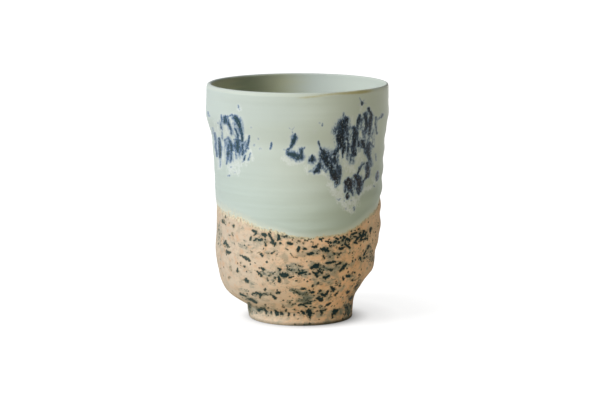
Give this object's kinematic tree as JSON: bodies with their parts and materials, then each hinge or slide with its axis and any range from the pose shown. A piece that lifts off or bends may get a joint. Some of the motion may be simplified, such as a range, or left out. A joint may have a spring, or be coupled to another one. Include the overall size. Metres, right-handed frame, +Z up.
{
  "type": "coffee cup",
  "caption": "Handleless stoneware coffee cup with a slightly flared rim band, a rounded belly pressed in on one side, a low foot ring, and glaze down to a sagging dip line over bare clay.",
  "frame": {"origin": "on the table, under the middle of the cup's bounding box", "axes": "+Z up out of the mouth, -Y towards the front of the picture, +X towards the side that is pressed in"},
  "size_m": [0.0773, 0.0772, 0.1],
  "materials": {
    "bare_clay": "unglazed buff stoneware with dark iron specks",
    "foot_clay": "unglazed buff stoneware with dark iron specks",
    "dipped_glaze": "satin pale grey-green glaze with dark blue runs",
    "poured_glaze": "satin pale grey-green glaze"
  },
  "bodies": {
    "root": {"clay_body": "bare_clay", "foot_ring": "foot_clay", "outer_glaze": "dipped_glaze", "liner_glaze": "poured_glaze"}
  },
  "joints": []
}
